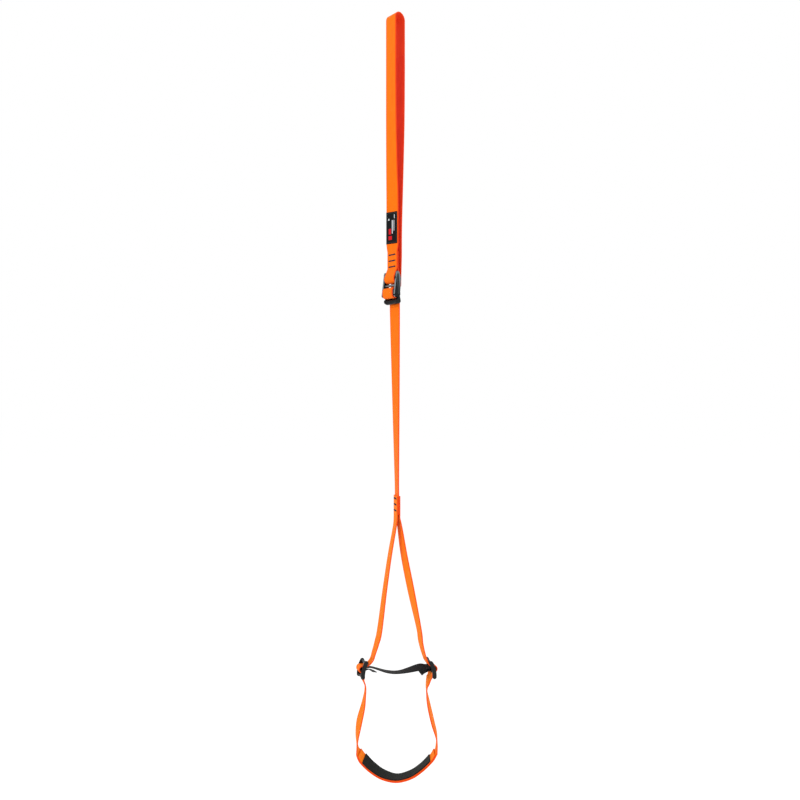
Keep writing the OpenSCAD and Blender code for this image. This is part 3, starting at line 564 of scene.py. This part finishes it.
WIDTH_TURN = 90 - SLIDER_TURN
END_BAR_U = (SLIDER_L - RAIL_D) / 2
BOW_IN = BOW - np.sqrt(BOW ** 2 - END_BAR_U ** 2)
LAP_O = -BOW_IN - END_BAR_R - STRAP_GAP - HALF_T - 0.8
LAP_U = END_BAR_U + 0.5
UPPER = {LEFT: [(0.05, 0.095, 78), (0.249, 0.285, 76), (0.4535, 0.52, 73.5),
                (0.667, 0.795, 69.5), (0.785, 0.882, 71), (0.909, 0.952, 74)],
         RIGHT: [(0.064, 0.095, 70), (0.218, 0.285, 62), (0.465, 0.52, 60),
                 (0.77, 0.795, 70), (0.831, 0.882, 72), (0.918, 0.952, 74)]}
LOWER = {LEFT: [(0.79, 0.07, 82), (0.79, 0.144, 84), (0.838, 0.268, 75), (0.938, 0.432, 68),
                (0.993, 0.583, 78), (0.985, 0.70, 92)],
         RIGHT: [(0.745, 0.05, 86), (0.735, 0.134, 91), (0.786, 0.258, 99), (0.883, 0.426, 100),
                 (0.985, 0.583, 93), (0.98, 0.705, 88)]}
# Half the step: share of the half width, share of the drop, turn and roll
HALF_STEP = {LEFT: [(0.955, 0.737, 99, -7), (0.855, 0.80, 104, -10),
                    (0.63, 0.89, 100, -8), (0.355, 0.963, 94, -4)],
             RIGHT: [(0.955, 0.737, 85, 5), (0.855, 0.80, 83, 8),
                     (0.63, 0.89, 85, 7), (0.355, 0.963, 88, 4)]}
# How far the webbing stands off above a slider and below it
ABOVE, BELOW = {LEFT: (6.5, 8.4), RIGHT: (6.0, 1.2)}, {LEFT: 0.5, RIGHT: 4.5}


def slider_rows(side, start, slanted=False):
    """Over a middle bar from an end bar. Slanted, it hangs clear of the end bar."""
    spots = [(start, LAP_O), (start * 0.52, LAP_O * 0.42), (start * 0.33, BULGE * 0.72), (0, BULGE)]
    if slanted:
        spots[:2] = [(start + 1.15, LAP_O - 4.75), (start * 0.5, LAP_O * 0.56)]
    return [slider_row(side, on_slider(side, u, o)) for u, o in spots]


def side_rows(side):
    layer = lambda z: [*(np.array([HANG_X, 0, z]) + stack_out * side * LAYER), STACK_TURN, 0]
    a = np.array(layer(STACK_END)[:3])
    b = on_slider(side, -LAP_U - ABOVE[side][0], LAP_O - ABOVE[side][1])
    rows = [layer(STACK_Z), layer(STACK_END), layer(STACK_END - 6)]
    rows += [[*mix(a, b, np.array([f, f, g])), t, SLIDER_ROLL[side] * g * g] for f, g, t in UPPER[side]]
    rows += [slider_row(side, b)] + slider_rows(side, -LAP_U, side == LEFT) + slider_rows(side, LAP_U)[2::-1]
    low = on_slider(side, LAP_U + 5, LAP_O - BELOW[side])
    rows += [slider_row(side, low)]
    rows += [[HANG_X + side * f * STEP_HALF, 0, mix(low[2], STEP_Z, g), t, 0] for f, g, t in LOWER[side]]
    rows += [[HANG_X + side * f * STEP_HALF, 0, mix(low[2], STEP_Z, g), t, r]
             for f, g, t, r in HALF_STEP[side]]
    return rows


stirrup_rows = np.array(side_rows(LEFT) + [[HANG_X, 0, STEP_Z, 90, STEP_ROLL]] + side_rows(RIGHT)[::-1])
stirrup = Lane(*smooth(stirrup_rows))
LAST = len(stirrup_rows) - 1
FLEX_FROM, SLIDER_FROM, SLIDER_TO, STEP_FROM, TAB_AT, PAD_AT = 5, 9, 17, 20, 24, 25


def stretch(side, a, b, **more):
    """Stations of the stirrup between two control rows, counted from that side's top."""
    ends = (a, b) if side == LEFT else (LAST - b, LAST - a)
    return stirrup.lay(stirrup.at_knot(ends[0]), stirrup.at_knot(ends[1]), **more)


for side, word in ((LEFT, "left"), (RIGHT, "right")):
    height = lambda knot: level(float(stirrup_rows[knot if side == LEFT else LAST - knot][2]))
    band(word + "_leg_top_webbing", stretch(side, 0, FLEX_FROM), "stirrup", replaces=word + "_leg_top",
         material=ORANGE_STIRRUP)
    band(word + "_leg_webbing", stretch(side, FLEX_FROM, SLIDER_FROM), replaces=word + "_leg_flex",
         material=ORANGE_STIRRUP,
         across=("stirrup", "instep", height(FLEX_FROM), height(SLIDER_FROM)))
    band(word + "_bulge_webbing", stretch(side, SLIDER_FROM, SLIDER_TO, gap=0.6), "instep",
         replaces=word + "_bulge", material=ORANGE_STIRRUP)
    band(word + "_lower_webbing", stretch(side, SLIDER_TO, STEP_FROM), replaces=word + "_lower_flex",
         material=ORANGE_STIRRUP,
         across=("instep", "stirrup", height(SLIDER_TO), height(STEP_FROM)))

tail = Lane(*straight([[HANG_X, 0, SWING_Z, STACK_TURN, 0], [HANG_X, 0, STACK_END, STACK_TURN, 0]]))
band("strap_tail_webbing", tail.lay(0, tail.run[-1]), "stirrup", replaces="strap_tail")


def under_foot(start, **more):
    return stirrup.lay(stirrup.at_knot(start), stirrup.at_knot(LAST - start), **more)


band("step_webbing_outer", under_foot(STEP_FROM), "stirrup", replaces="step_webbing", material=ORANGE_STIRRUP)
band("step_webbing_inner", under_foot(TAB_AT), "stirrup", replaces="step_layer", off=-LAYER,
     material=ORANGE_STIRRUP)
PAD_OFF = -LAYER - HALF_T - 0.05 - PAD_T / 2
band("step_tread", under_foot(PAD_AT), "stirrup", replaces="step_pad", off=PAD_OFF,
     shape=section(PAD_W, PAD_T), material=TREAD)


# ---- Sewing --------------------------------------------------------------------------
def bar_tack(mid, wide, down, out, across=TACK_W, high=TACK_H, turns=13, thick=0.34):
    """A bar tack as thread: two threads laid across, and one over them in a zigzag whose
    height is high/2 * the triangle wave of its place across."""
    f = np.linspace(-0.5, 0.5, turns * 4 + 1)
    wave = np.abs((np.linspace(0, turns, turns * 4 + 1) % 1) * 4 - 2) - 1
    lift = thick * (1.2 - 0.5 * np.abs(wave))
    zigzag = (mid + np.outer(f * across, wide) + np.outer(wave * high / 2, down) + np.outer(lift, out))
    parts = [rod(zigzag, thick, 6)]
    for s in (-0.22, 0.22):
        g = np.linspace(-0.5, 0.5, 9)
        parts.append(rod(mid + np.outer(g * across, wide) + down * s * high + np.outer(
            np.full(9, thick * 0.4), out), thick, 6))
    return parts


DOWN = np.array([0.0, 0.0, -1.0])
loop_wide = turned(np.array([1.0, 0.0, 0.0]), -LOOP_TURN)
sewing = []
for k in range(3):
    z = TACK_TOP - k * TACK_PITCH
    for d, way in ((FRONT_D + HALF_T, 1), (FRONT_D - LAYER - HALF_T, -1)):
        sewing += bar_tack(into * d + level(z), loop_wide, DOWN, into * way)
dressed(joined("eye_bar_tacks", sewing), THREAD, "eye", "eye_tacks")

sewing = []
for k in range(3):
    z = STACK_Z - 5 - k * TACK_PITCH
    for s in (-1, 1):
        sewing += bar_tack(np.array([HANG_X, 0, z]) + stack_out * s * (LAYER + HALF_T), stack_wide, DOWN,
                           stack_out * s)
dressed(joined("junction_bar_tacks", sewing), THREAD, "stirrup", "junction_tacks")


def stitch_row(lane, start, end, across, off, length=3.2, thick=0.3):
    """Lock stitches along a lane: each is a thread that rises out of the webbing and dips back
    in, its height following the sine of its place along the stitch."""
    parts = []
    count = int((end - start) / length)
    for k in range(count):
        at = start + (k + np.linspace(0.12, 0.88, 6)) * (end - start) / count
        pick = lambda a: np.column_stack([np.interp(at, lane.run, a[:, c]) for c in range(3)])
        rise = np.sin(np.linspace(0, np.pi, 6)) * thick * 1.1 - thick * 0.5
        parts.append(rod(pick(lane.mid) + pick(lane.wide) * across
                         + pick(lane.out) * (off + np.sign(off) * rise)[:, None], thick, 5))
    return parts


sewing = []
a, b = stirrup.at_knot(TAB_AT) + 2, stirrup.at_knot(LAST - TAB_AT) - 2
for across in (-9.5, 9.5):
    sewing += stitch_row(stirrup, a, b, across, HALF_T)
dressed(joined("step_stitches", sewing), THREAD, "stirrup", "step_stitching")

# ---- Label ---------------------------------------------------------------------------
label_lane = Lane(*straight(in_loop([(FRONT_D, LABEL_Z + LABEL_H / 2, LABEL_TURN),
                                     (FRONT_D, LABEL_Z - LABEL_H / 2, LABEL_TURN)])))
LABEL_CLOTH = woven("woven_label", LABEL_W, LABEL_T, "#0F1012", "#0F1012", "#0D0D0F", "#070708",
                    0.7, 0.9, 0.06, 0.6)
# It is sewn nearer the webbing's left edge
label_lane.mid += label_lane.wide * -((WEBBING_W - LABEL_W) / 2 - 0.2)
band("plain_label", label_lane.lay(0, label_lane.run[-1]), "eye", replaces="blank_label",
     off=HALF_T + 0.05 + LABEL_T / 2, shape=section(LABEL_W, LABEL_T), material=LABEL_CLOTH)

# Plain shapes stand in for the label's print, with no lettering: a thin border, four bars and
# two red blocks. Each box is its middle's distance left of the label's middle, its top's distance
# down from the label's top, its width and its height.
PRINT = coated("label_print", "#C4C6C8", "#A6A8AC", 0.3, 0.6, specular=0.2)
DIM_PRINT = coated("label_border_print", "#3A3D40", "#303336", 0.3, 0.6, specular=0.1)
RED_PRINT = coated("label_print_red", "#BE1420", "#A8121C", 0.3, 0.6, specular=0.05)
PRINT_T = 0.06
label_left, label_out = -label_lane.wide[0], label_lane.out[0]
label_face = label_lane.mid[0] + label_out * (HALF_T + 0.05 + LABEL_T)
for name, material, boxes in (
        ("label_border", DIM_PRINT, [(-10.2, 2, 0.4, 53), (10.2, 2, 0.4, 53),
                                     (0, 2, 20.8, 0.4), (0, 54.6, 20.8, 0.4)]),
        ("label_bars", PRINT, [(-5.6, 5, 1.2, 7), (-1.4, 15, 1.8, 24),
                               (-4.8, 15, 1.2, 19), (6.0, 12, 2.4, 3)]),
        ("label_red_block", RED_PRINT, [(3.6, 30, 5.0, 10), (3.0, 43, 7.0, 7)])):
    points, faces = [], []
    for left, top, wide, high in boxes:
        base = len(points)
        for depth in (-0.01, PRINT_T):
            for x, z in ((wide / 2, 0), (-wide / 2, 0), (-wide / 2, -high), (wide / 2, -high)):
                points.append(label_face + label_left * (left + x) + label_out * depth + level(z - top))
        faces += [[base + k for k in f] for f in ((0, 1, 2, 3), (7, 6, 5, 4), (0, 4, 5, 1), (1, 5, 6, 2),
                                                  (2, 6, 7, 3), (3, 7, 4, 0))]
    dressed(make(name, points, faces, flat=True), material, "eye")

# ---- Hardware ------------------------------------------------------------------------
def softened(node, name, width):
    """A copy of a node's solid, merged and with its edges rounded."""
    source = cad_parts[node]
    mesh = source.data.copy()
    thing = bpy.data.objects.new(name, mesh)
    bpy.context.scene.collection.objects.link(thing)
    bpy.context.view_layer.objects.active = thing
    weld = thing.modifiers.new("weld", "WELD")
    weld.merge_threshold = 0.00002
    flat = thing.modifiers.new("flat", "DECIMATE")
    flat.decimate_type, flat.angle_limit = "DISSOLVE", np.radians(0.5)
    bevel = thing.modifiers.new("bevel", "BEVEL")
    bevel.width, bevel.segments, bevel.limit_method = width * MM, 3, "ANGLE"
    bevel.angle_limit = np.radians(35)
    bevel.harden_normals = False
    deps = bpy.context.evaluated_depsgraph_get()
    final = bpy.data.meshes.new_from_object(thing.evaluated_get(deps))
    thing.modifiers.clear()
    thing.data = final
    final.polygons.foreach_set("use_smooth", np.full(len(final.polygons), True))
    final.set_sharp_from_angle(angle=np.radians(40))
    return thing


cheeks = dressed(softened("buckle_frame", "buckle_cheeks_and_bars", 0.8), COATED_STEEL, "buckle",
                 "buckle_frame")
cheeks.data.materials.append(RIB_HIGHLIGHT_STEEL)
# The rib's faces, those no further than its radius from its middle line, take the painted highlight
CHEEK_IN, RIB_R = WEBBING_W / 2 + 0.8, 2.6
rib_top = np.array([TOP_BAR_D + 2.5, 7.5])
rib_way = unit(np.array([LOCK_BAR_D + 0.6, -LOCK_DROP - 2.9]) - rib_top)
for face in cheeks.data.polygons:
    c = np.array(cheeks.matrix_world @ face.center) / MM
    aside, rise = abs(c @ loop_wide), c[2] - PIN_Z
    from_top = np.array([c @ into, rise]) - rib_top
    beside = abs(rib_way[0] * from_top[1] - rib_way[1] * from_top[0])
    if np.hypot(aside - CHEEK_IN - RIB_R + 0.4, beside) < RIB_R * 1.06 and aside > CHEEK_IN + 1.2:
        face.material_index = 1
for node, name, width, material, body, slot in (
        ("cross_pin", "buckle_cross_pin", 0.3, SATIN_STEEL, "buckle", "pin"),
        ("locking_bar", "floating_locking_bar", 0.5, SATIN_STEEL, "locking_bar", "pin"),
        ("left_slider", "left_slider_moulding", 0.7, POLYACETAL, "instep", "slider"),
        ("right_slider", "right_slider_moulding", 0.7, POLYACETAL, "instep", "slider")):
    dressed(softened(node, name, width), material, body, node)

# ---- Instep strap --------------------------------------------------------------------
WRAP_R = MID_BAR_R + STRAP_GAP + INSTEP_T / 2


def wrap(side):
    """Round a slider's middle bar, on its outer side."""
    return [slider_row(side, on_slider(side, -WRAP_R * np.cos(a), WRAP_R * np.sin(a)))
            for a in np.radians(np.linspace(-8, 188, 11))]


def loose_end(side, shares, drop, turn, roll):
    """A free tail: it leaves below the bar, sags, and turns and rolls towards its end. Each
    share is of its length inwards and of its drop."""
    rows = []
    for f, g in shares:
        p = slider_spot(side) + turned((-side * f * TAIL_L, 0, 0), SLIDER_TURN)
        rows.append([p[0], p[1], p[2] - WRAP_R - g * (drop - WRAP_R),
                     mix(WIDTH_TURN, turn, f), mix(SLIDER_ROLL[side], roll, f)])
    return rows


def lead(side, out, rise, roll):
    """The strap between the sliders leaves above each bar."""
    p, f = on_slider(side, -WRAP_R, -out), min(1, out / 9)
    return [p[0], p[1] * (1 - 0.4 * f), p[2] + rise, mix(WIDTH_TURN, 90, 0.5 * f), roll]


SAG_Z = SLIDER_Z - INSTEP_SAG + 1
LEFT_TAIL = [(0.04, 0.04), (0.16, 0.03), (0.36, -0.16), (0.58, -0.08), (0.80, 0.4), (1, 1)]
RIGHT_TAIL = [(0.04, 0.02), (0.16, 0), (0.36, -0.02), (0.66, 0.42), (0.88, 1)]
instep_rows = (loose_end(LEFT, LEFT_TAIL, 8.8, 80, 28)[::-1] + wrap(LEFT)[::-1]
               + [lead(LEFT, 1.6, 0, 9), lead(LEFT, 4, 0.3, 9.5)]
               + [lead(LEFT, 9, 1.8, 12), lead(LEFT, 20, 3.6, 13)]
               + [[HANG_X - 17, 0, SAG_Z + 0.5, 88, 8], [HANG_X + 5, 0, SAG_Z, 90, 4]]
               + [lead(RIGHT, 24, 4, -14), lead(RIGHT, 10, 1, -6)]
               + [lead(RIGHT, 4, 0.2, 2), lead(RIGHT, 1.6, 0, 5)]
               + wrap(RIGHT) + loose_end(RIGHT, RIGHT_TAIL, 8.6, 70, 4))
instep = Lane(*smooth(np.array(instep_rows), 30))
band("instep_webbing", instep.lay(0, instep.run[-1], 0.6), "instep", replaces="instep_strap",
     shape=section(INSTEP_W, INSTEP_T), material=BLACK_STRAP)

# ---- Stage ---------------------------------------------------------------------------
floor_mesh = bpy.data.meshes.new("floor")
FLOOR_Z, FLOOR_HALF = -1.62, 40.0
corners = [(x * FLOOR_HALF, y * FLOOR_HALF, FLOOR_Z) for x, y in ((-1, -1), (1, -1), (1, 1), (-1, 1))]
floor_mesh.from_pydata(corners, [], [(0, 1, 2, 3)])
floor = bpy.data.objects.new("floor", floor_mesh)
bpy.context.scene.collection.objects.link(floor)
paper, tree = new_material("pale_paper")
matt = add(tree, "ShaderNodeBsdfPrincipled", None,
           {"Base Color": linear("#FFFFFF"), "Roughness": 1.0, "Specular IOR Level": 0.0})
add(tree, "ShaderNodeOutputMaterial", None, {"Surface": matt})
floor.data.materials.append(paper)

world = bpy.data.worlds.new("studio")
bpy.context.scene.world = world
world.use_nodes = True
world.node_tree.nodes.clear()
sky = add(world.node_tree, "ShaderNodeBackground", None, {"Color": linear("#FFFFFF"), "Strength": 1.0})
add(world.node_tree, "ShaderNodeOutputWorld", None, {"Surface": sky})


def softbox(name, spot, target, size, power):
    light = bpy.data.lights.new(name, "AREA")
    light.shape, light.size, light.size_y, light.energy = "RECTANGLE", size[0], size[1], power
    thing = bpy.data.objects.new(name, light)
    thing.location = spot
    way = np.subtract(target, spot)
    thing.rotation_euler = Vector(way).to_track_quat("-Z", "Y").to_euler()
    bpy.context.scene.collection.objects.link(thing)


softbox("key", (-2.2, -1.8, 0.6), (0, 0, -0.7), (1.2, 2.4), 34)
softbox("fill", (2.4, -1.6, -0.2), (0, 0, -0.8), (1.2, 2.4), 13)

# ---- Camera --------------------------------------------------------------------------
# Level with the loop's middle; the view is twice HALF_VIEW wide at the object, in metres
HALF_VIEW, CAMERA_AWAY = 0.72, 1.25
CAMERA_X, CAMERA_Z = 0.0081, -0.6817
camera_data = bpy.data.cameras.new("camera")
camera_data.sensor_fit = "HORIZONTAL"
camera_data.angle = 2 * np.arctan(HALF_VIEW / CAMERA_AWAY)
camera = bpy.data.objects.new("camera", camera_data)
camera.location = (CAMERA_X, -CAMERA_AWAY, CAMERA_Z)
camera.rotation_euler = (np.pi / 2, 0, 0)
bpy.context.scene.collection.objects.link(camera)
bpy.context.scene.camera = camera
bpy.context.scene.view_settings.view_transform = "Standard"
